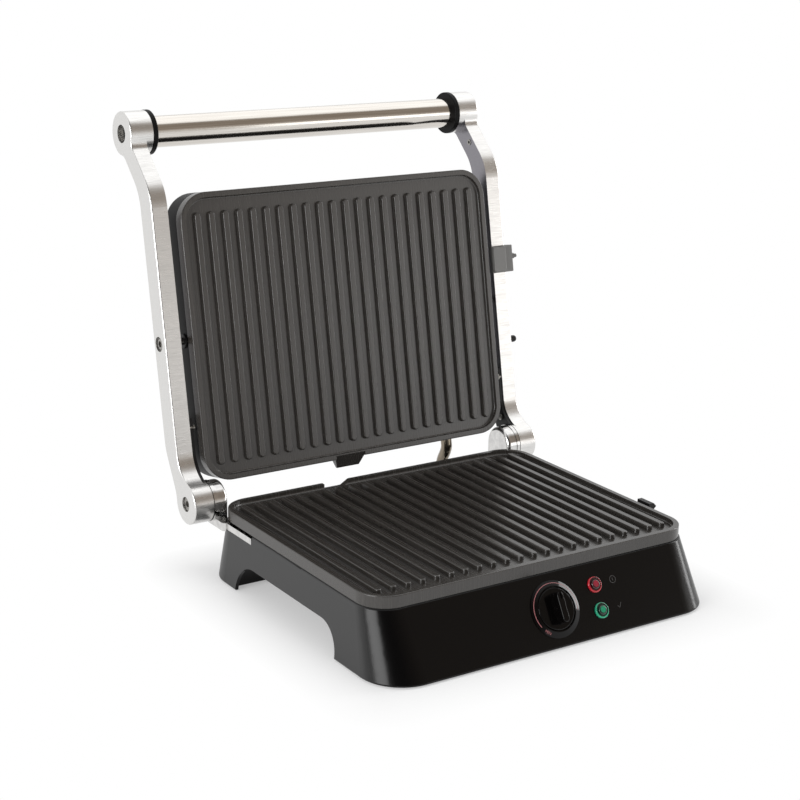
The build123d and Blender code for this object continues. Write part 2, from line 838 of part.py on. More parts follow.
def stop_plate():
    """Black plate on the arm's inner face that stops the lid's tilt."""
    band = Pos(*lid_spot((stop_start + stop_end) / 2, 0)) * Rectangle(stop_end - stop_start, 4 * arm_back)
    hinge_room = Pos(*lid_spot(0, 0)) * Circle(knuckle_radius + stop_room)
    shape = (offset(arm_profile(), -stop_inset) & band) - hinge_room
    plate = across(shape, arm_inner - stop_thickness, arm_inner)
    for y, z in stop_screw_spots:
        plate -= rod(stop_screw / 2 + hole_room, 0, arm_outer, y, z)
    return plate


def stop_screws():
    face = arm_inner - stop_thickness
    screws = []
    for y, z in stop_screw_spots:
        head = rod(stop_screw_head / 2, face - stop_screw_head_height, face, y, z)
        head = fillet(head.edges().group_by(Axis.X)[0], rim_round)
        screw = head + rod(stop_screw / 2, face, arm_inner + stop_screw_length - 1, y, z)
        screws += [screw, mirrored(screw)]
    return screws


def arm_buffer():
    y, z = lid_spot(buffer_along, buffer_rise)
    pad = rod(buffer_diameter / 2, arm_outer, arm_outer + buffer_length, y, z)
    pad = fillet(pad.edges().group_by(Axis.X)[-1], buffer_diameter / 2 - 0.1)
    return pad + rod(buffer_stem / 2, arm_outer - buffer_stem_length, arm_outer, y, z)


def lid_lock_slide():
    """Clip that slides along the right arm, with a thumb block in front and a pin at its side."""
    y, _ = lid_spot(lock_along, 0)
    front = hinge_z + arm_front - lock_room
    back = hinge_z + arm_back + lock_room
    inner = arm_inner - lock_room - lock_face
    outer = arm_outer + lock_room
    side = outer + lock_side
    low = front - lock_face
    start = (Align.MIN, Align.CENTER, Align.MIN)
    face = Pos(inner, y, low) * Box(side - inner, lock_length, lock_face, align=start)
    cheek = Pos(outer, y, low) * Box(lock_side, lock_length, back + lock_face - low, align=start)
    lip = Pos(outer - lock_lip, y, back) * Box(lock_side + lock_lip, lock_length, lock_face, align=start)
    clip = face + cheek + lip
    clip = fillet(clip.edges().filter_by(Axis.Z).group_by(Axis.X)[-1], rim_round)
    button = Pos(inner, y, low) * Box(
        lock_button_width, lock_button_length, lock_button_height, align=(Align.MIN, Align.CENTER, Align.MAX)
    )
    button = fillet(button.edges().group_by(Axis.Z)[0], rim_round)
    pin_y = y - lock_pin_offset
    pin_z = low + lock_pin_rise
    pin = rod(lock_pin / 2, side, side + lock_pin_length, pin_y, pin_z)
    tip_start = side + lock_pin_length
    tip = rod(lock_tip / 2, tip_start, tip_start + lock_tip_length, pin_y, pin_z)
    return clip + button + pin + tip


def lock_catch():
    """Fixed catch on the base's right side that the lid lock reaches over."""
    drop = (housing_top - catch_foot) / (housing_top - housing_lift)
    wall_x = half_width + housing_margin + side_flare * drop + face_room
    outer = wall_x + catch_width
    top = catch_top
    profile = [
        (wall_x, catch_foot),
        (outer - catch_hook, catch_foot),
        (outer - catch_hook, top - 2 * catch_hook),
        (outer, top - catch_hook),
        (outer - catch_hook, top),
        (wall_x, top),
    ]
    plane = Plane(origin=(0, catch_y + catch_length / 2, 0), x_dir=(1, 0, 0), z_dir=(0, -1, 0))
    body = extrude(plane * Polygon(*profile, align=None), amount=catch_length)
    peg_x = wall_x - face_room - wall - side_flare * drop
    peg = Pos(peg_x, catch_y, catch_foot + catch_hook) * Box(
        wall_x - peg_x, catch_length / 2, 2 * catch_hook, align=(Align.MIN, Align.CENTER, Align.CENTER)
    )
    return body + peg


def upper_housing():
    """Frame of the lid, open above and below, drawn in its closed place."""
    shell = ring(0, wall, upper_base, upper_top)
    ledge_low = 2 * mirror_height - ledge_top
    shell += ring(wall / 2, wall + ledge_width, ledge_low, ledge_low + ledge_thickness)
    for x, y in plate_screw_spots:
        shell -= pillar(plate_screw / 2 + hole_room, x, y, ledge_low, ledge_low + ledge_thickness)
    y, z = lid_spot(pivot_along, pivot_rise)
    inner = half_width - wall - bush_reach
    hole = rod(bush_diameter / 2 + hole_room, inner - face_room, plate_width, y, z)
    shell = shell - hole - mirrored(hole)
    return shell - stub(lid_gland_plane(), gland_stem / 2 + hole_room, -4 * wall, wall)


def upper_cover():
    crown = slab(plate_outline(0), upper_top, upper_top + crown_height)
    crown = fillet(crown.edges().group_by(Axis.Z)[-1], crown_round)
    hollow = slab(plate_outline(crown_wall), upper_top, upper_top + crown_height - crown_wall)
    hollow = fillet(hollow.edges().group_by(Axis.Z)[-1], crown_round - crown_wall)
    lip_outer = wall + cover_fit
    lip = ring(lip_outer, lip_outer + crown_lip_width, upper_top - crown_lip, upper_top + crown_wall)
    seat = ring(crown_wall / 2, lip_outer + crown_lip_width, upper_top, upper_top + crown_wall)
    return crown - hollow + seat + lip


def lid_gland_plane():
    """The wiring's outlet in the closed lid's hinge-side wall, with local Z out of the wall."""
    _, z = lid_spot(0, conduit_rise)
    return Plane(origin=(conduit_x, half_depth, z), x_dir=(-1, 0, 0), z_dir=(0, 1, 0))


def gland(plane, bore, wall_thickness, height=gland_height):
    flange = stub(plane, gland_diameter / 2, 0, height)
    flange = fillet(flange.edges().filter_by(GeomType.CIRCLE).sort_by_distance(plane.origin)[-1], rim_round)
    body = flange + stub(plane, gland_stem / 2, -wall_thickness - gland_depth, 0)
    return body - stub(plane, bore / 2, -4 * gland_depth - wall_thickness, 2 * height)


def conduit_route():
    """Points of the wiring's loop from inside the open lid down and forward into the base."""
    turn = math.radians(lid_open)

    def spot(a, n):
        y = hinge_y - a * math.cos(turn) + n * math.sin(turn)
        z = hinge_z + a * math.sin(turn) + n * math.cos(turn)
        return Vector(conduit_x, y, z)

    base = rear_plane(conduit_x, conduit_base_z)
    start = spot(hinge_back + conduit_inside, conduit_rise)
    leave = spot(hinge_back - gland_height - 0.7 * conduit_diameter, conduit_rise)
    reach = base.origin + base.z_dir * (3 * conduit_diameter)
    back = Vector(conduit_x, max(leave.Y, reach.Y) + conduit_diameter / 3, (leave.Z + reach.Z) / 2)
    return [start, leave, back, reach, base.origin - base.z_dir * conduit_inside]


def wiring_conduit():
    points = conduit_route()
    radii = []
    for before, here, after in zip(points, points[1:], points[2:]):
        turn = math.radians((here - before).get_angle(after - here))
        run = min((here - before).length, (after - here).length)
        radii.append(0.45 * run / math.tan(turn / 2))
    path = FilletPolyline(*points, radius=radii)
    section = Plane(origin=path @ 0, z_dir=path % 0) * Circle(conduit_diameter / 2)
    tube = sweep(section, path=path)
    print("conduit radii", [round(r, 1) for r in radii], "length", round(path.length, 1))
    print("conduit volume over section times length", tube.volume / (path.length * section.area))
    return tube


def dial_bezel():
    """A low cone round the knob."""
    plane = panel_plane(dial_x, dial_down)
    rim = extrude(Circle(bezel_diameter / 2), amount=bezel_rim)
    cone = Pos(0, 0, bezel_rim) * Cone(
        bezel_diameter / 2, bezel_opening / 2 + bezel_rim, bezel_height - bezel_rim,
        align=(Align.CENTER, Align.CENTER, Align.MIN),
    )
    return plane * (rim + cone) - stub(plane, bezel_opening / 2, -1, 2 * bezel_height)


def thermostat_knob():
    plane = panel_plane(dial_x, dial_down)
    disc = extrude(Circle(knob_diameter / 2), amount=knob_disc)
    disc = fillet(disc.edges().group_by(Axis.Z)[-1], rim_round)
    top = knob_height - knob_lift
    grip = extrude(Rot(0, 0, 90) * SlotOverall(grip_length, grip_width), amount=top, taper=grip_draft)
    grip = fillet(grip.edges().group_by(Axis.Z)[-1], rim_round)
    pointer = Pos(0, grip_length / 2, top) * Box(pointer_width, 2 * pointer_length, 2 * pointer_depth)
    knob = disc + (grip - pointer)
    knob -= extrude(shaft_section(hole_room), amount=shaft_engage)
    return plane * Pos(0, 0, knob_lift) * knob


def shaft_section(room):
    """A round shaft with one flat."""
    radius = shaft_diameter / 2 + room
    flat = Pos(radius, 0) * Rectangle(radius / 2, 2 * shaft_diameter)
    return Circle(radius) - flat


def knob_shaft():
    plane = panel_plane(dial_x, dial_down)
    start = -panel_wall - shaft_inside
    collar_end = knob_lift - face_room
    end = knob_lift + shaft_engage - face_room
    shaft = Pos(0, 0, start) * extrude(Circle(shaft_diameter / 2), amount=collar_end - start)
    shaft += Pos(0, 0, collar_end) * extrude(shaft_section(0), amount=end - collar_end)
    return plane * shaft


def thermostat_body():
    plane = panel_plane(dial_x, dial_down)
    front = -panel_wall - face_room
    body = Pos(0, 0, front) * extrude(
        RectangleRounded(thermostat_width, thermostat_height, rim_width), amount=-thermostat_depth
    )
    bore = Pos(0, 0, front) * extrude(Circle(shaft_diameter / 2 + running_room), amount=-shaft_inside)
    return plane * (body - bore)


def lamp_lens(down):
    plane = panel_plane(lamp_x, down)
    flange = extrude(Circle(lamp_flange / 2), amount=lamp_flange_height)
    flange = fillet(flange.edges().group_by(Axis.Z)[-1], rim_round)
    groove_width = (lamp_flange - lamp_dome) / 4
    groove = Circle(lamp_dome / 2 + groove_width) - Circle(lamp_dome / 2)
    flange -= Pos(0, 0, lamp_flange_height - lamp_groove) * extrude(groove, amount=lamp_groove)
    dome = Pos(0, 0, lamp_flange_height) * extrude(Circle(lamp_dome / 2), amount=lamp_dome_rise)
    dome = fillet(dome.edges().group_by(Axis.Z)[-1], 0.9 * lamp_dome_rise)
    stem = extrude(Circle(lamp_stem / 2), amount=-lamp_stem_length)
    return plane * (flange + dome + stem)


def lamp_holders():
    holders = []
    for down in lamp_downs:
        plane = panel_plane(lamp_x, down)
        front = -panel_wall - face_room
        holder = stub(plane, holder_diameter / 2, front - holder_length, front)
        holders.append(holder - stub(plane, lamp_stem / 2 + hole_room, -lamp_stem_length - face_room, 0))
    return holders


def terminal_block():
    width, depth, height = terminal_size
    block = Pos(terminal_x, terminal_y, cover_base + cover_thickness) * Box(
        width, depth, height, align=(Align.CENTER, Align.CENTER, Align.MIN)
    )
    step = width / terminal_ways
    for way in range(terminal_ways):
        x = terminal_x - width / 2 + (way + 0.5) * step
        hole = Pos(x, terminal_y, cover_base + cover_thickness + height / 2) * Rot(90, 0, 0)
        block -= hole * Cylinder(terminal_hole / 2, 2 * depth)
    return block


def thermal_fuse():
    """Sits on the back of the upper heat shield."""
    shield_back = 2 * mirror_height - (ledge_top - tray_depth)
    fuse = Pos(0, fuse_y, shield_back + fuse_diameter / 2) * Rot(0, 90, 0)
    return fuse * Cylinder(fuse_diameter / 2, fuse_length)


# The base
pieces = {
    "base_housing": base_housing(),
    "bottom_cover": bottom_cover(),
    "rubber_feet": rubber_feet(),
    "bottom_cover_screws": cover_screws(),
    "lower_grill_plate": lower_grill_plate(),
    "lower_heating_element": heating_element(),
    "lower_heat_shield": heat_shield(),
    "lower_plate_screws": plate_screws(),
    "right_hinge_bracket": hinge_bracket(),
    "left_hinge_bracket": mirrored(hinge_bracket()),
    "bracket_screws": bracket_screws(),
    "hinge_pins": both_sides(hinge_pin()),
    "hinge_washers": both_sides(hinge_washer()),
    "lock_catch": lock_catch(),
    "dial_bezel": dial_bezel(),
    "thermostat_knob": thermostat_knob(),
    "knob_shaft": knob_shaft(),
    "thermostat_body": thermostat_body(),
    "red_lamp_lens": lamp_lens(lamp_downs[0]),
    "green_lamp_lens": lamp_lens(lamp_downs[1]),
    "lamp_holders": lamp_holders(),
    "terminal_block": terminal_block(),
    "base_conduit_gland": gland(
        rear_plane(conduit_x, conduit_base_z), conduit_diameter + 2 * hole_room, rear_wall
    ),
    "cord_inlet": gland(rear_plane(inlet_x, inlet_z), inlet_bore, rear_wall),
    "wiring_conduit": wiring_conduit(),
}

# The lid, drawn closed
lid_pieces = {
    "right_arm": right_arm(),
    "left_arm": mirrored(arm()),
    "handle_tube": handle_tube(),
    "handle_collars": both_sides(handle_collar()),
    "handle_screws": both_sides(handle_screw_piece()),
    "pivot_screws": both_sides(pivot_screw()),
    "right_stop_plate": stop_plate(),
    "left_stop_plate": mirrored(stop_plate()),
    "stop_plate_screws": stop_screws(),
    "arm_buffer": arm_buffer(),
    "lid_lock_slide": lid_lock_slide(),
    "upper_housing": upper_housing(),
    "upper_cover": upper_cover(),
    "pivot_bushes": both_sides(pivot_bush()),
    "upper_grill_plate": upper_grill_plate(),
    "upper_heating_element": turned_over(heating_element()),
    "upper_heat_shield": turned_over(heat_shield()),
    "upper_plate_screws": [turned_over(screw) for screw in plate_screws()],
    "thermal_fuse": thermal_fuse(),
    "lid_conduit_gland": gland(lid_gland_plane(), conduit_diameter + 2 * hole_room, wall, lid_gland_height),
}
for name, piece in lid_pieces.items():
    pieces[name] = [opened(solid) for solid in piece] if isinstance(piece, list) else opened(piece)

# Centre the open press's outline on X and Y
turn = math.radians(lid_open)
handle_back = hinge_y - handle_along * math.cos(turn) + handle_rise * math.sin(turn) + collar_diameter / 2
front_edge = -half_depth - housing_margin - front_flare
middle_y = (handle_back + front_edge) / 2
lock_end = arm_outer + lock_room + lock_side + lock_pin_length + lock_tip_length
middle_x = (lock_end - arm_outer) / 2
os.makedirs("parts", exist_ok=True)
for name, piece in pieces.items():
    solids = piece if isinstance(piece, list) else [piece]
    placed = [Pos(-middle_x, -middle_y, 0) * solid for solid in solids]
    placed = Compound(children=placed) if len(placed) > 1 else placed[0]
    placed.label = name
    export_step(placed, f"parts/{name}.step")


def told(label, point):
    print(label, [round(v, 3) for v in (point[0] - middle_x, point[1] - middle_y, point[2])])


pivot_y = hinge_y - pivot_along * math.cos(turn) + pivot_rise * math.sin(turn)
pivot_z = hinge_z + pivot_along * math.sin(turn) + pivot_rise * math.cos(turn)
told("hinge axis point", (0, hinge_y, hinge_z))
told("floating pivot point", (0, pivot_y, pivot_z))
dial = panel_plane(dial_x, dial_down)
told("dial point", tuple(dial.origin))
print("dial axis", [round(v, 5) for v in dial.z_dir])
print("lock direction", [0, round(-math.cos(turn), 5), round(math.sin(turn), 5)])
told("front right foot", (foot_x, foot_front_y, 0))
print("middle", round(middle_x, 3), round(middle_y, 3), "nodes", len(pieces))
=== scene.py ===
import json
import math
import bmesh
import bpy
from mathutils import Matrix, Vector


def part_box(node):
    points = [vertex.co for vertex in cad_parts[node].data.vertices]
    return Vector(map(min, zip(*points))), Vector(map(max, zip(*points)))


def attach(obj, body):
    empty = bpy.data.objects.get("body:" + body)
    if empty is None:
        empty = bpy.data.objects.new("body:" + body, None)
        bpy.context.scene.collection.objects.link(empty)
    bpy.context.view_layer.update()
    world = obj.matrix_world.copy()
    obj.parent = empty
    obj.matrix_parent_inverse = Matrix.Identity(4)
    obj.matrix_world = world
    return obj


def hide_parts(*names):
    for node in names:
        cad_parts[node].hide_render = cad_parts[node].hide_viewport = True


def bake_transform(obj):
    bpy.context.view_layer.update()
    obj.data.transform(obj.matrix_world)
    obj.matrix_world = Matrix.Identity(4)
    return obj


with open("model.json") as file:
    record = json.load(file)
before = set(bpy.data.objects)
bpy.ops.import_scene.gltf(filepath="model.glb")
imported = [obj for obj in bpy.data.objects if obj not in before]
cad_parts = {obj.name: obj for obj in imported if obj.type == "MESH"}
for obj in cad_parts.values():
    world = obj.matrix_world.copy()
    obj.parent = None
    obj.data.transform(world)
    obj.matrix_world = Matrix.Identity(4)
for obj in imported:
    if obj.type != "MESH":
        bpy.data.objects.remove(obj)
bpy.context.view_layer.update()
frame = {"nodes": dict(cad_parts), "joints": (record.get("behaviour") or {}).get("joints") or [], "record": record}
nodes = frame["nodes"]
joints = {joint["name"]: joint for joint in frame["joints"]}
mm = 0.001
print("frame loaded:", len(nodes), "nodes")


# Small helpers

def linear(hexColour):
    channels = [int(hexColour[i:i + 2], 16) / 255 for i in (1, 3, 5)]
    curve = [c / 12.92 if c <= 0.04045 else ((c + 0.055) / 1.055) ** 2.4 for c in channels]
    return (*curve, 1.0)


def addNode(tree, kind, settings=None, links=None):
    node = tree.nodes.new(kind)
    for name, value in (settings or {}).items():
        if isinstance(name, int) or name in node.inputs:
            node.inputs[name].default_value = value
        else:
            setattr(node, name, value)
    for name, source in (links or {}).items():
        tree.links.new(source, node.inputs[name])
    return node


def newPiece(name, mesh, material, body=None):
    piece = bpy.data.objects.new(name, mesh)
    bpy.context.scene.collection.objects.link(piece)
    mesh.materials.clear()
    mesh.materials.append(material)
    if body:
        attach(piece, body)
    return piece


def newMaterial(name):
    material = bpy.data.materials.new(name)
    material.use_nodes = True
    material.node_tree.nodes.clear()
    return material, material.node_tree


def setStops(ramp, stops):
    while len(ramp.elements) < len(stops):
        ramp.elements.new(0.5)
    for element, (place, colour) in zip(ramp.elements, stops):
        element.position = place
        element.color = linear(colour)


def raiseFaces(form, faces, height):
    grown = bmesh.ops.extrude_face_region(form, geom=faces)["geom"]
    moved = [v for v in grown if isinstance(v, bmesh.types.BMVert)]
    bmesh.ops.translate(form, verts=moved, vec=(0, 0, height))
    return [f for f in grown if isinstance(f, bmesh.types.BMFace)]


def setDown(form, place):
    bmesh.ops.recalc_face_normals(form, faces=form.faces[:])
    bmesh.ops.transform(form, matrix=place, verts=form.verts[:])


def meshFrom(name, form):
    mesh = bpy.data.meshes.new(name)
    form.to_mesh(mesh)
    form.free()
    return mesh


def meshOfCurve(curve):
    maker = bpy.data.objects.new(curve.name, curve)
    bpy.context.scene.collection.objects.link(maker)
    bpy.context.view_layer.update()
    mesh = bpy.data.meshes.new_from_object(maker.evaluated_get(bpy.context.evaluated_depsgraph_get()))
    bpy.data.objects.remove(maker)
    return mesh


# Finishes: two tones of one colour, mixed by a grain of the given size in millimetres along x, y and z

grainDetail = 3.0
grainRange = (0.32, 0.68)      # part of the noise that goes from the dark tone to the light one
reliefDepth = 0.05 * mm

finishes = {
    # PTFE coat sprayed on cast aluminium: near-black warm grey with a soft, wide sheen
    "nonStickCoat": {
        "light": "#33302d", "dark": "#2c2926", "grain": (0.9, 40.0, 40.0), "rough": (0.23, 0.29),
        "bump": 0.0, "sockets": {"IOR": 1.5, "Specular IOR Level": 0.72},
    },
    # moulded black ABS off an etched tool: dull black, soft sheen
    "satinBlackAbs": {
        "light": "#171616", "dark": "#111010", "grain": (0.7, 0.7, 0.7), "rough": (0.3, 0.4),
        "bump": 0.08, "sockets": {"IOR": 1.54, "Specular IOR Level": 0.2},
    },
    # black ABS with a deep etch: the lid's skin, the collars and the bottom hardly shine at all
    "mattBlackAbs": {
        "light": "#0e0d0d", "dark": "#090808", "grain": (0.7, 0.7, 0.7), "rough": (0.42, 0.5),
        "bump": 0.08, "sockets": {"IOR": 1.54, "Specular IOR Level": 0.1},
    },
    # black ABS painted mid grey all over as a painted sheen: the lock's thumb block reads lighter than its
    # neighbours
    "lockBlackAbsPaintedSheen": {
        "light": "#6c6b69", "dark": "#646361", "grain": (0.7, 0.7, 0.7), "rough": (0.3, 0.4),
        "bump": 0.08, "sockets": {"IOR": 1.54},
    },
    # moulded black ABS off a polished tool: deep black, mirror-like
    "glossBlackAbs": {
        "light": "#080707", "dark": "#060505", "grain": (3.0, 3.0, 3.0), "rough": (0.08, 0.12),
        "bump": 0.0, "sockets": {"IOR": 1.54, "Specular IOR Level": 0.18},
    },
    # bright chrome on pressed steel: mirror with a little haze
    "chromePlatedSteel": {
        "light": "#d9d8d6", "dark": "#c4c3c2", "grain": (6.0, 6.0, 6.0), "rough": (0.05, 0.12),
        "bump": 0.0, "sockets": {"Metallic": 1.0},
    },
    # drawn and polished stainless tube: faint lengthwise streaks, slightly warm
    "polishedStainless": {
        "light": "#dcd8d2", "dark": "#c9c4bd", "grain": (60.0, 0.7, 0.7), "rough": (0.09, 0.15),
        "bump": 0.0, "sockets": {"Metallic": 1.0},
    },
    # zinc plated steel: grey, slightly cloudy
    "zincPlatedSteel": {
        "light": "#a9a7a2", "dark": "#8a8884", "grain": (1.2, 1.2, 1.2), "rough": (0.26, 0.34),
        "bump": 0.0, "sockets": {"Metallic": 1.0},
    },
    # polished metal hose with a bronze tint: bright edges, dark middle
    "bronzeHose": {
        "light": "#8f8577", "dark": "#7a7164", "grain": (6.0, 6.0, 6.0), "rough": (0.08, 0.12),
        "bump": 0.0, "sockets": {"Metallic": 1.0},
    },
    # moulded black nylon: matt, slightly mottled
    "mouldedNylon": {
        "light": "#232222", "dark": "#191818", "grain": (1.5, 1.5, 1.5), "rough": (0.45, 0.55),
        "bump": 0.0, "sockets": {"IOR": 1.53},
    },
    # moulded rubber: matt dark grey
    "mouldedRubber": {
        "light": "#242322", "dark": "#1a1918", "grain": (1.5, 1.5, 1.5), "rough": (0.7, 0.8),
        "bump": 0.0, "sockets": {"IOR": 1.52},
    },
    # pad-printed ink: flat colour with thin patches
    "pinkInk": {
        "light": "#a3686a", "dark": "#7c4547", "grain": (0.8, 0.8, 0.8), "rough": (0.45, 0.55),
        "bump": 0.0, "sockets": {},
    },
    "greyInk": {
        "light": "#343332", "dark": "#282726", "grain": (0.8, 0.8, 0.8), "rough": (0.45, 0.55),
        "bump": 0.0, "sockets": {},
    },
}


def makeFinish(name):
    finish = finishes[name]
    material, tree = newMaterial(name)
    scale = tuple(1 / (size * mm) for size in finish["grain"])
    place = addNode(tree, "ShaderNodeTexCoord")
    spread = addNode(tree, "ShaderNodeMapping", {"Scale": scale}, {"Vector": place.outputs["Object"]})
    grain = addNode(
        tree, "ShaderNodeTexNoise", {"Scale": 1.0, "Detail": grainDetail},
        {"Vector": spread.outputs["Vector"]},
    )
    start, end = grainRange
    share = addNode(
        tree, "ShaderNodeMapRange", {"From Min": start, "From Max": end}, {"Value": grain.outputs["Fac"]}
    )
    tone = addNode(
        tree, "ShaderNodeMix",
        {"data_type": "RGBA", 6: linear(finish["dark"]), 7: linear(finish["light"])},
        {0: share.outputs["Result"]},
    )
    low, high = finish["rough"]
    rough = addNode(
        tree, "ShaderNodeMapRange", {"To Min": low, "To Max": high}, {"Value": share.outputs["Result"]}
    )
    shader = addNode(
        tree, "ShaderNodeBsdfPrincipled", finish["sockets"],
        {"Base Color": tone.outputs[2], "Roughness": rough.outputs["Result"]},
    )
    if finish["bump"]:
        relief = addNode(
            tree, "ShaderNodeBump", {"Strength": finish["bump"], "Distance": reliefDepth},
            {"Height": grain.outputs["Fac"]},
        )
        tree.links.new(relief.outputs["Normal"], shader.inputs["Normal"])
    addNode(tree, "ShaderNodeOutputMaterial", links={"Surface": shader.outputs["BSDF"]})
    return material


shellAbs = {
    "frontColour": "#050404",
    # painted sheen: colour of faces turned to the side and back, lighter than the black front
    "sideSheenColour": "#363636",
    "polished": 0.2,
    "satin": 0.34,
    "turn": (-0.45, -0.1),     # y of the normal, from the front panel round to the side
    "grain": 0.6 * mm,
    "uneven": 0.04,
    "sockets": {"IOR": 1.54, "Specular IOR Level": 0.2},
}


def makeShellAbs():
    # one moulding in black ABS: polished front panel, satin sides and back off an etched tool, with a painted
    # sheen that gives the sides and back a lighter grey than the front
    material, tree = newMaterial("blackAbsPaintedSideSheen")
    facing = addNode(tree, "ShaderNodeNewGeometry")
    parts = addNode(tree, "ShaderNodeSeparateXYZ", links={"Vector": facing.outputs["Normal"]})
    front, beside = shellAbs["turn"]
    side = addNode(
        tree, "ShaderNodeMapRange", {"From Min": front, "From Max": beside}, {"Value": parts.outputs["Y"]}
    )
    # painted sheen: the colour goes from the black front to the lighter side grey as the face turns
    tone = addNode(
        tree, "ShaderNodeMix",
        {"data_type": "RGBA", 6: linear(shellAbs["frontColour"]), 7: linear(shellAbs["sideSheenColour"])},
        {0: side.outputs["Result"]},
    )
    rough = addNode(
        tree, "ShaderNodeMapRange", {"To Min": shellAbs["polished"], "To Max": shellAbs["satin"]},
        {"Value": side.outputs["Result"]},
    )
    place = addNode(tree, "ShaderNodeTexCoord")
    grain = addNode(
        tree, "ShaderNodeTexNoise", {"Scale": 1 / shellAbs["grain"]}, {"Vector": place.outputs["Object"]}
    )
    uneven = addNode(
        tree, "ShaderNodeMath", {"operation": "MULTIPLY_ADD", 1: shellAbs["uneven"]},
        {0: grain.outputs["Fac"], 2: rough.outputs["Result"]},
    )
    shader = addNode(
        tree, "ShaderNodeBsdfPrincipled", shellAbs["sockets"],
        {"Base Color": tone.outputs[2], "Roughness": uneven.outputs[0]},
    )
    addNode(tree, "ShaderNodeOutputMaterial", links={"Surface": shader.outputs["BSDF"]})
    return material


armAluminium = {
    "light": "#e4e3e1",
    "dark": "#cfcecc",
    "inner": "#89878c",        # painted shade, on the sides that face the lid
    "rough": (0.26, 0.34),
    "lines": (14.0, 0.5, 0.5),
    "lineRange": (0.3, 0.7),
    "bump": 0.06,
    "innerShadeTurn": (-0.6, -0.95),             # how far a face looks inward, from bright to full painted shade
    "middle": -7.2 * mm,       # x of the plane between the arms
}


def makeArmAluminium():
    # die-cast aluminium linished across the arm: bright and even with faint lines along x, with painted shade on
    # the faces that look inward to the lid
    material, tree = newMaterial("linishedAluminium")
    place = addNode(tree, "ShaderNodeTexCoord")
    scale = tuple(1 / (size * mm) for size in armAluminium["lines"])
    spread = addNode(tree, "ShaderNodeMapping", {"Scale": scale}, {"Vector": place.outputs["Object"]})
    lines = addNode(
        tree, "ShaderNodeTexNoise", {"Scale": 1.0, "Detail": grainDetail},
        {"Vector": spread.outputs["Vector"]},
    )
    start, end = armAluminium["lineRange"]
    share = addNode(
        tree, "ShaderNodeMapRange", {"From Min": start, "From Max": end}, {"Value": lines.outputs["Fac"]}
    )
    outside = addNode(
        tree, "ShaderNodeMix",
        {"data_type": "RGBA", 6: linear(armAluminium["dark"]), 7: linear(armAluminium["light"])},
        {0: share.outputs["Result"]},
    )
    spot = addNode(tree, "ShaderNodeSeparateXYZ", links={"Vector": place.outputs["Object"]})
    offset = addNode(
        tree, "ShaderNodeMath", {"operation": "SUBTRACT", 1: armAluminium["middle"]}, {0: spot.outputs["X"]}
    )
    hand = addNode(tree, "ShaderNodeMath", {"operation": "SIGN"}, {0: offset.outputs[0]})
    facing = addNode(tree, "ShaderNodeNewGeometry")
    parts = addNode(tree, "ShaderNodeSeparateXYZ", links={"Vector": facing.outputs["Normal"]})
    outward = addNode(
        tree, "ShaderNodeMath", {"operation": "MULTIPLY"}, {0: hand.outputs[0], 1: parts.outputs["X"]}
    )
    bright, fullInnerShade = armAluminium["innerShadeTurn"]
    # painted shade: faces that look inward to the lid take the darker inner colour
    innerShadeShare = addNode(
        tree, "ShaderNodeMapRange", {"From Min": bright, "From Max": fullInnerShade}, {"Value": outward.outputs[0]}
    )
    tone = addNode(
        tree, "ShaderNodeMix", {"data_type": "RGBA", 7: linear(armAluminium["inner"])},
        {0: innerShadeShare.outputs["Result"], 6: outside.outputs[2]},
    )
    low, high = armAluminium["rough"]
    rough = addNode(
        tree, "ShaderNodeMapRange", {"To Min": high, "To Max": low}, {"Value": share.outputs["Result"]}
    )
    relief = addNode(
        tree, "ShaderNodeBump", {"Strength": armAluminium["bump"], "Distance": reliefDepth},
        {"Height": lines.outputs["Fac"]},
    )
    shader = addNode(
        tree, "ShaderNodeBsdfPrincipled", {"Metallic": 1.0},
        {
            "Base Color": tone.outputs[2], "Roughness": rough.outputs["Result"],
            "Normal": relief.outputs["Normal"],
        },
    )
    addNode(tree, "ShaderNodeOutputMaterial", links={"Surface": shader.outputs["BSDF"]})
    return material


# clear tinted acrylic with painted light by radius: a painted reflection brightens the middle, painted shade
# darkens the well round it, and a painted highlight lights the rim
lensAcrylic = {
    "redAcrylic": {"node": "red_lamp_lens", "lamp": "#8f2034", "paintedWellShade": "#330810", "rim": "#b8222f"},
    "greenAcrylic": {"node": "green_lamp_lens", "lamp": "#178c66", "paintedWellShade": "#06291f", "rim": "#27a57d"},
}
# painted light across the lens radius: painted reflection in the middle, painted shade in the well, painted
# highlight on the rim
lensBands = [(0.0, "lamp"), (0.36, "lamp"), (0.46, "paintedWellShade"), (0.8, "paintedWellShade"), (0.92, "rim"), (1.0, "rim")]
lensFacets = 0.9 * mm
lensRough = (0.05, 0.1)
lensSockets = {"IOR": 1.49, "Coat Weight": 0.6}


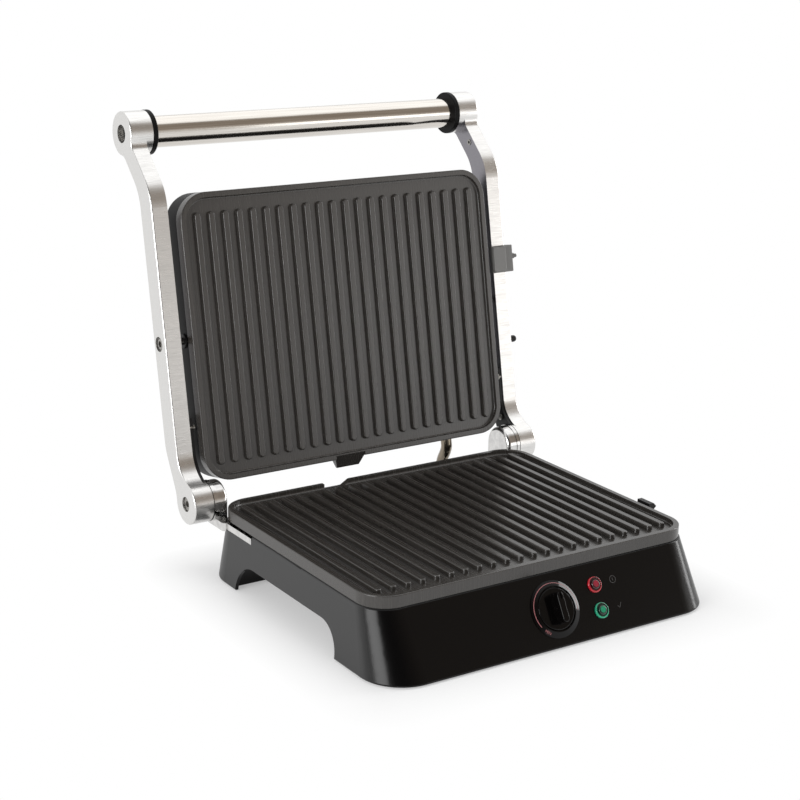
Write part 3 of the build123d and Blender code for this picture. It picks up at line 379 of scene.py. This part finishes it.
def makeLens(name):
    lens = lensAcrylic[name]
    material, tree = newMaterial(name)
    corners = [Vector(corner) for corner in nodes[lens["node"]].bound_box]
    middle = (corners[0] + corners[6]) / 2
    radius = (corners[6].x - corners[0].x) / 2
    place = addNode(tree, "ShaderNodeTexCoord")
    offset = addNode(
        tree, "ShaderNodeVectorMath", {"operation": "SUBTRACT", 1: middle}, {0: place.outputs["Object"]}
    )
    aside = addNode(
        tree, "ShaderNodeVectorMath", {"operation": "CROSS_PRODUCT", 1: joints["dial_turn"]["axis"]},
        {0: offset.outputs[0]},
    )
    distance = addNode(tree, "ShaderNodeVectorMath", {"operation": "LENGTH"}, {0: aside.outputs[0]})
    share = addNode(tree, "ShaderNodeMapRange", {"From Max": radius}, {"Value": distance.outputs["Value"]})
    # painted light and shade by distance from the lens middle
    bands = addNode(tree, "ShaderNodeValToRGB", links={"Fac": share.outputs["Result"]})
    setStops(bands.color_ramp, [(along, lens[tone]) for along, tone in lensBands])
    facets = addNode(
        tree, "ShaderNodeTexVoronoi", {"Scale": 1 / lensFacets}, {"Vector": place.outputs["Object"]}
    )
    low, high = lensRough
    rough = addNode(
        tree, "ShaderNodeMapRange", {"To Min": low, "To Max": high}, {"Value": facets.outputs["Distance"]}
    )
    shader = addNode(
        tree, "ShaderNodeBsdfPrincipled", lensSockets,
        {"Base Color": bands.outputs["Color"], "Roughness": rough.outputs["Result"]},
    )
    addNode(tree, "ShaderNodeOutputMaterial", links={"Surface": shader.outputs["BSDF"]})
    return material


materials = {name: makeFinish(name) for name in finishes}
materials.update({name: makeLens(name) for name in lensAcrylic})
materials["blackAbsPaintedSideSheen"] = makeShellAbs()
materials["linishedAluminium"] = makeArmAluminium()
slotFinish = {
    "gloss_black_shell": "blackAbsPaintedSideSheen",
    "satin_black_plastic": "satinBlackAbs",
    "rubber": "mouldedRubber",
    "nonstick_plate": "nonStickCoat",
    "cast_aluminium": "linishedAluminium",
    "chrome": "chromePlatedSteel",
    "stainless": "polishedStainless",
    "conduit_sleeve": "bronzeHose",
    "screws": "zincPlatedSteel",
    "heating_steel": "zincPlatedSteel",
    "nylon": "mouldedNylon",
    "red_lens": "redAcrylic",
    "green_lens": "greenAcrylic",
}
ownFinish = {
    "dial_bezel": "glossBlackAbs",
    "thermostat_knob": "glossBlackAbs",
    # painted sheen: the lock slide gets a grey colour in place of its shine
    "lid_lock_slide": "lockBlackAbsPaintedSheen",
    "upper_housing": "mattBlackAbs",
    "upper_cover": "mattBlackAbs",
    "handle_collars": "mattBlackAbs",
    "bottom_cover": "mattBlackAbs",
}
for part in frame["record"]["subparts"]:
    finishName = ownFinish.get(part["node"], slotFinish[part["material_slot"]])
    mesh = nodes[part["node"]].data
    mesh.materials.clear()
    mesh.materials.append(materials[finishName])
print("finishes set on the CAD pieces")


# Front panel: printed scale and marks. Local x is right, y up the slope, z out of the panel

dialPoint = Vector(joints["dial_turn"]["pos_m"])
panelOut = Vector(joints["dial_turn"]["axis"]).normalized()
panelRight = Vector((1, 0, 0))
panelUp = panelOut.cross(panelRight)
panelTurn = Matrix((panelRight, panelUp, panelOut)).transposed().to_4x4()
panelPlace = Matrix.Translation(dialPoint) @ panelTurn

ink = 0.04 * mm                # thickness of a print
dialScale = {
    "bezelEdge": (22 * mm, 0.6 * mm),       # radius and height where the bezel's cone starts
    "bezelTop": (17.6 * mm, 2.4 * mm),      # and where it ends, at the knob
    "radius": 19.9 * mm,
    "width": 0.5 * mm,
    "start": 122,              # degrees anticlockwise from the top of the slope
    "end": -104,
    "steps": 72,
    "word": "MIN",
    "wordSize": 3.2 * mm,
    "wordTurn": 141,
}


def bezelHeight(radius):
    (edgeRadius, edgeHeight), (topRadius, topHeight) = dialScale["bezelEdge"], dialScale["bezelTop"]
    return edgeHeight + (edgeRadius - radius) * (topHeight - edgeHeight) / (edgeRadius - topRadius)


def makeDialScale():
    form = bmesh.new()
    start = math.radians(dialScale["start"])
    ends = []
    for side in (-0.5, 0.5):
        radius = dialScale["radius"] + side * dialScale["width"]
        place = (-math.sin(start) * radius, math.cos(start) * radius, bezelHeight(radius))
        ends.append(form.verts.new(place))
    edge = form.edges.new(ends)
    sweep = math.radians(dialScale["end"] - dialScale["start"])
    bmesh.ops.spin(
        form, geom=[edge, *ends], cent=(0, 0, 0), axis=(0, 0, 1), angle=sweep, steps=dialScale["steps"]
    )
    raiseFaces(form, form.faces[:], ink)
    setDown(form, panelPlace)
    newPiece("dialScale", meshFrom("dialScale", form), materials["pinkInk"], "base")


def makeDialWord():
    curve = bpy.data.curves.new("dialWord", "FONT")
    curve.body = dialScale["word"]
    curve.size = dialScale["wordSize"]
    curve.extrude = ink / 2
    curve.align_x = "CENTER"
    curve.align_y = "CENTER"
    mesh = meshOfCurve(curve)
    radius = dialScale["radius"]
    slope = math.atan2(bezelHeight(radius - mm) - bezelHeight(radius), mm)
    turn = Matrix.Rotation(math.radians(dialScale["wordTurn"]), 4, "Z")
    out = Matrix.Translation((0, radius, bezelHeight(radius) + ink / 2))
    lean = Matrix.Rotation(-slope, 4, "X")
    upright = Matrix.Rotation(math.pi, 4, "Z")
    mesh.transform(panelPlace @ turn @ out @ lean @ upright)
    newPiece("dialWord", mesh, materials["pinkInk"], "base")


panelMarks = {
    "right": 60 * mm,          # both marks stand this far right of the dial's middle
    "heatUp": 11.3 * mm,
    "readyUp": -9.3 * mm,
    "size": 3.0 * mm,
    "line": 0.5 * mm,
    "ringSteps": 40,
    # the bar in the ring and the two strokes of the tick: x, y and length in sizes, turn in degrees
    "strokes": [
        {"up": "heatUp", "x": 0.0, "y": 0.0, "turn": 0, "length": 0.95},
        {"up": "readyUp", "x": -0.42, "y": -0.2, "turn": 40, "length": 0.8},
        {"up": "readyUp", "x": 0.2, "y": 0.08, "turn": -32, "length": 1.5},
    ],
}


def makePanelMarks():
    form = bmesh.new()
    size, line = panelMarks["size"], panelMarks["line"]
    # a ring with a bar in it is the heating mark, a tick is ready to use
    ends = [form.verts.new((radius, 0, 0)) for radius in (size - line, size)]
    edge = form.edges.new(ends)
    bmesh.ops.spin(
        form, geom=[edge, *ends], cent=(0, 0, 0), axis=(0, 0, 1), angle=math.tau,
        steps=panelMarks["ringSteps"], use_merge=True,
    )
    bmesh.ops.translate(form, verts=form.verts[:], vec=(panelMarks["right"], panelMarks["heatUp"], 0))
    for stroke in panelMarks["strokes"]:
        grid = bmesh.ops.create_grid(form, x_segments=1, y_segments=1, size=0.5)
        shape = Matrix.Diagonal((line, stroke["length"] * size, 1, 1))
        lean = Matrix.Rotation(math.radians(stroke["turn"]), 4, "Z")
        x = panelMarks["right"] + stroke["x"] * size
        y = panelMarks[stroke["up"]] + stroke["y"] * size
        place = Matrix.Translation((x, y, 0))
        bmesh.ops.transform(form, matrix=place @ lean @ shape, verts=grid["verts"])
    raiseFaces(form, form.faces[:], ink)
    setDown(form, panelPlace)
    newPiece("panelMarks", meshFrom("panelMarks", form), materials["greyInk"], "base")


makeDialScale()
makeDialWord()
makePanelMarks()
print("panel printed")


# Set screws of the handle, on the inner faces of both arms

setScrew = {
    "y": 158.1 * mm,
    "z": 322.8 * mm,
    "radius": 2.6 * mm,
    "height": 0.5 * mm,
    "socket": 1.3 * mm,
    "socketDepth": 0.9 * mm,
    "segments": 24,
}


def makeSetScrews():
    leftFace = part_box("left_stop_plate")[0][0]
    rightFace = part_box("right_stop_plate")[1][0]
    for name, face, side in (("leftSetScrew", leftFace, 1), ("rightSetScrew", rightFace, -1)):
        form = bmesh.new()
        bmesh.ops.create_circle(
            form, cap_ends=True, segments=setScrew["segments"], radius=setScrew["radius"]
        )
        top = raiseFaces(form, form.faces[:], setScrew["height"])
        bmesh.ops.inset_region(form, faces=top, thickness=setScrew["radius"] - setScrew["socket"])
        raiseFaces(form, top, -setScrew["socketDepth"])
        bmesh.ops.delete(form, geom=top, context="FACES")
        turn = Matrix.Rotation(side * math.pi / 2, 4, "Y")
        place = Matrix.Translation((face, setScrew["y"], setScrew["z"]))
        setDown(form, place @ turn)
        newPiece(name, meshFrom(name, form), materials["zincPlatedSteel"], "lid_arms")


makeSetScrews()
print("set screws made")


# Wiring conduit behind the hinge, bent between base, arms and lid

conduit = {
    "radius": 5 * mm,
    "route": [                 # y and z of the conduit's line in millimetres
        (67.97, 20.04), (75.74, 21.95), (100.98, 28.17), (104.31, 43.1),
        (95.17, 58.06), (96.6, 65.5), (98.01, 72.78),
    ],
    "split": 56 * mm,          # the lower piece ends here and the upper one goes on
    "lowEnd": 18 * mm,
    "highEnd": 66 * mm,
    "bendY": 95 * mm,
    "lengthSteps": 16,
    "roundSteps": 6,
    "weld": 0.01 * mm,
}


def makeConduit():
    x = sum(corner[0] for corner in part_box("wiring_conduit")) / 2
    curve = bpy.data.curves.new("conduit", "CURVE")
    curve.dimensions = "3D"
    curve.resolution_u = conduit["lengthSteps"]
    curve.bevel_depth = conduit["radius"]
    curve.bevel_resolution = conduit["roundSteps"]
    curve.use_fill_caps = True
    spline = curve.splines.new("NURBS")
    spline.points.add(len(conduit["route"]) - 1)
    for point, (y, z) in zip(spline.points, conduit["route"]):
        point.co = (x, y * mm, z * mm, 1)
    spline.order_u = 3
    spline.use_endpoint_u = True
    whole = meshOfCurve(curve)
    pieces = []
    for name, keepUpper in (("conduitLower", False), ("conduitUpper", True)):
        form = bmesh.new()
        form.from_mesh(whole)
        bmesh.ops.remove_doubles(form, verts=form.verts[:], dist=conduit["weld"])
        geometry = form.verts[:] + form.edges[:] + form.faces[:]
        bmesh.ops.bisect_plane(
            form, geom=geometry, plane_co=(0, 0, conduit["split"]), plane_no=(0, 0, 1),
            clear_inner=keepUpper, clear_outer=not keepUpper,
        )
        rim = [edge for edge in form.edges if edge.is_boundary]
        bmesh.ops.holes_fill(form, edges=rim, sides=0)
        bmesh.ops.recalc_face_normals(form, faces=form.faces[:])
        for face in form.faces:
            face.smooth = len(face.verts) == 4
        pieces.append(newPiece(name, meshFrom(name, form), materials["bronzeHose"]))
    lower, upper = pieces
    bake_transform(lower)
    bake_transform(upper)
    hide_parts("wiring_conduit")
    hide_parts("wiring_conduit")


makeConduit()
print("conduit made")


# Studio: camera, floor, lamps and surroundings

camera = {
    "place": (-780.79 * mm, -1142.74 * mm, 550.56 * mm),
    "azimuth": -33.904,
    "elevation": 16.394,
    "roll": 1.205,
    "lens": 79.33,
    "shift": (-0.0143, -0.00265),
    "sensor": 36,
    "clipEnd": 100,
}


def makeCamera():
    data = bpy.data.cameras.new("camera")
    data.sensor_width = camera["sensor"]
    data.lens = camera["lens"]
    data.shift_x, data.shift_y = camera["shift"]
    data.clip_end = camera["clipEnd"]
    holder = bpy.data.objects.new("camera", data)
    turn = Matrix.Rotation(math.radians(camera["azimuth"]), 4, "Z")
    tilt = Matrix.Rotation(math.radians(90 - camera["elevation"]), 4, "X")
    roll = Matrix.Rotation(math.radians(camera["roll"]), 4, "Z")
    holder.matrix_world = Matrix.Translation(camera["place"]) @ turn @ tilt @ roll
    bpy.context.scene.collection.objects.link(holder)
    bpy.context.scene.camera = holder


def seenRays(tree):
    path = addNode(tree, "ShaderNodeLightPath")
    first = addNode(
        tree, "ShaderNodeMath", {"operation": "MAXIMUM"},
        {0: path.outputs["Is Camera Ray"], 1: path.outputs["Is Glossy Ray"]},
    )
    both = addNode(
        tree, "ShaderNodeMath", {"operation": "MAXIMUM"},
        {0: first.outputs[0], 1: path.outputs["Is Transmission Ray"]},
    )
    return path, both.outputs[0]


floor = {
    "size": 12.0,
    "colour": "#fcfcfc",
    "middle": (-0.007, -0.06, 0.0),        # of the ground that the press covers, in metres
    "half": (0.157, 0.14, 1.0),
    "nearGlow": 0.36,          # share of plain white under the press, where its shadow falls
    "reach": 0.05,             # this far out of the press all is plain white
}


def makeFloor():
    form = bmesh.new()
    bmesh.ops.create_grid(form, x_segments=1, y_segments=1, size=floor["size"] / 2)
    mesh = meshFrom("floor", form)
    material, tree = newMaterial("whiteSweep")
    matt = addNode(tree, "ShaderNodeBsdfDiffuse", {"Color": linear(floor["colour"])})
    glow = addNode(tree, "ShaderNodeEmission", {"Strength": 1.0})
    place = addNode(tree, "ShaderNodeTexCoord")
    offset = addNode(
        tree, "ShaderNodeVectorMath", {"operation": "SUBTRACT", 1: floor["middle"]},
        {0: place.outputs["Object"]},
    )
    eitherWay = addNode(tree, "ShaderNodeVectorMath", {"operation": "ABSOLUTE"}, {0: offset.outputs[0]})
    beyond = addNode(
        tree, "ShaderNodeVectorMath", {"operation": "SUBTRACT", 1: floor["half"]}, {0: eitherWay.outputs[0]}
    )
    outside = addNode(
        tree, "ShaderNodeVectorMath", {"operation": "MAXIMUM", 1: (0, 0, 0)}, {0: beyond.outputs[0]}
    )
    distance = addNode(tree, "ShaderNodeVectorMath", {"operation": "LENGTH"}, {0: outside.outputs[0]})
    fade = addNode(
        tree, "ShaderNodeMapRange",
        {"From Max": floor["reach"], "To Min": floor["nearGlow"]}, {"Value": distance.outputs["Value"]},
    )
    seen = seenRays(tree)[1]
    share = addNode(
        tree, "ShaderNodeMath", {"operation": "MULTIPLY"}, {0: seen, 1: fade.outputs["Result"]}
    )
    mixed = addNode(
        tree, "ShaderNodeMixShader", links={0: share.outputs[0], 1: matt.outputs[0], 2: glow.outputs[0]}
    )
    addNode(tree, "ShaderNodeOutputMaterial", links={"Surface": mixed.outputs[0]})
    mesh.materials.append(material)
    sweep = bpy.data.objects.new("floor", mesh)
    bpy.context.scene.collection.objects.link(sweep)


lamps = {
    "topBox": {"place": (0.8, 0.5, 2.0), "size": (2.4, 2.4), "power": 9},
    "rightStrip": {"place": (2.2, -0.45, 0.8), "size": (0.4, 1.5), "power": 14},
    "leftStrip": {"place": (-1.95, -0.55, 0.55), "size": (1.2, 0.9), "power": 26},
    "lowFront": {"place": (2.08, -1.87, 0.4), "size": (1.9, 0.75), "power": 6},
}
lampAim = Vector((0, 0, 0.15))


def makeLamps():
    for name, lamp in lamps.items():
        data = bpy.data.lights.new(name, "AREA")
        data.shape = "RECTANGLE"
        data.size, data.size_y = lamp["size"]
        data.energy = lamp["power"]
        holder = bpy.data.objects.new(name, data)
        place = Vector(lamp["place"])
        turn = (lampAim - place).to_track_quat("-Z", "Y").to_matrix().to_4x4()
        holder.matrix_world = Matrix.Translation(place) @ turn
        bpy.context.scene.collection.objects.link(holder)


surroundings = {
    "ambient": 0.6,
    "frontLeft": "#505050",
    "foreTurn": (-0.1, -0.45),              # y of the direction, from beside to in front
    "leftTurn": (0.42, -0.3),               # x of the direction, from right to left
    # brightness of what stands in front of the press, by height from straight down (0) to up (1)
    "front": [
        (0.0, "#ffffff"), (0.54, "#d8d4d0"), (0.62, "#b4aaa0"), (0.68, "#988d82"), (0.86, "#988d82"),
        (0.94, "#ffffff"), (1.0, "#ffffff"),
    ],
}


def makeSurroundings():
    world = bpy.data.worlds.new("studio")
    bpy.context.scene.world = world
    world.use_nodes = True
    tree = world.node_tree
    tree.nodes.clear()
    way = addNode(tree, "ShaderNodeTexCoord")
    parts = addNode(tree, "ShaderNodeSeparateXYZ", links={"Vector": way.outputs["Generated"]})
    height = addNode(
        tree, "ShaderNodeMapRange", {"From Min": -1.0, "From Max": 1.0}, {"Value": parts.outputs["Z"]}
    )
    bands = addNode(tree, "ShaderNodeValToRGB", links={"Fac": height.outputs["Result"]})
    setStops(bands.color_ramp, surroundings["front"])
    start, end = surroundings["foreTurn"]
    fore = addNode(
        tree, "ShaderNodeMapRange", {"From Min": start, "From Max": end}, {"Value": parts.outputs["Y"]}
    )
    start, end = surroundings["leftTurn"]
    left = addNode(
        tree, "ShaderNodeMapRange", {"From Min": start, "From Max": end}, {"Value": parts.outputs["X"]}
    )
    ahead = addNode(
        tree, "ShaderNodeMix", {"data_type": "RGBA", 7: linear(surroundings["frontLeft"])},
        {0: left.outputs["Result"], 6: bands.outputs["Color"]},
    )
    reflected = addNode(
        tree, "ShaderNodeMix", {"data_type": "RGBA", 6: linear("#ffffff")},
        {0: fore.outputs["Result"], 7: ahead.outputs[2]},
    )
    path, seen = seenRays(tree)
    plain = addNode(
        tree, "ShaderNodeBackground", {"Color": linear("#ffffff"), "Strength": surroundings["ambient"]}
    )
    mirror = addNode(tree, "ShaderNodeBackground", {"Strength": 1.0}, {"Color": reflected.outputs[2]})
    white = addNode(tree, "ShaderNodeBackground", {"Color": linear("#ffffff"), "Strength": 1.0})
    lit = addNode(tree, "ShaderNodeMixShader", links={0: seen, 1: plain.outputs[0], 2: mirror.outputs[0]})
    shown = addNode(
        tree, "ShaderNodeMixShader",
        links={0: path.outputs["Is Camera Ray"], 1: lit.outputs[0], 2: white.outputs[0]},
    )
    addNode(tree, "ShaderNodeOutputWorld", links={"Surface": shown.outputs[0]})


makeCamera()
makeFloor()
makeLamps()
makeSurroundings()
bpy.context.scene.view_settings.view_transform = "Standard"
print("studio set")
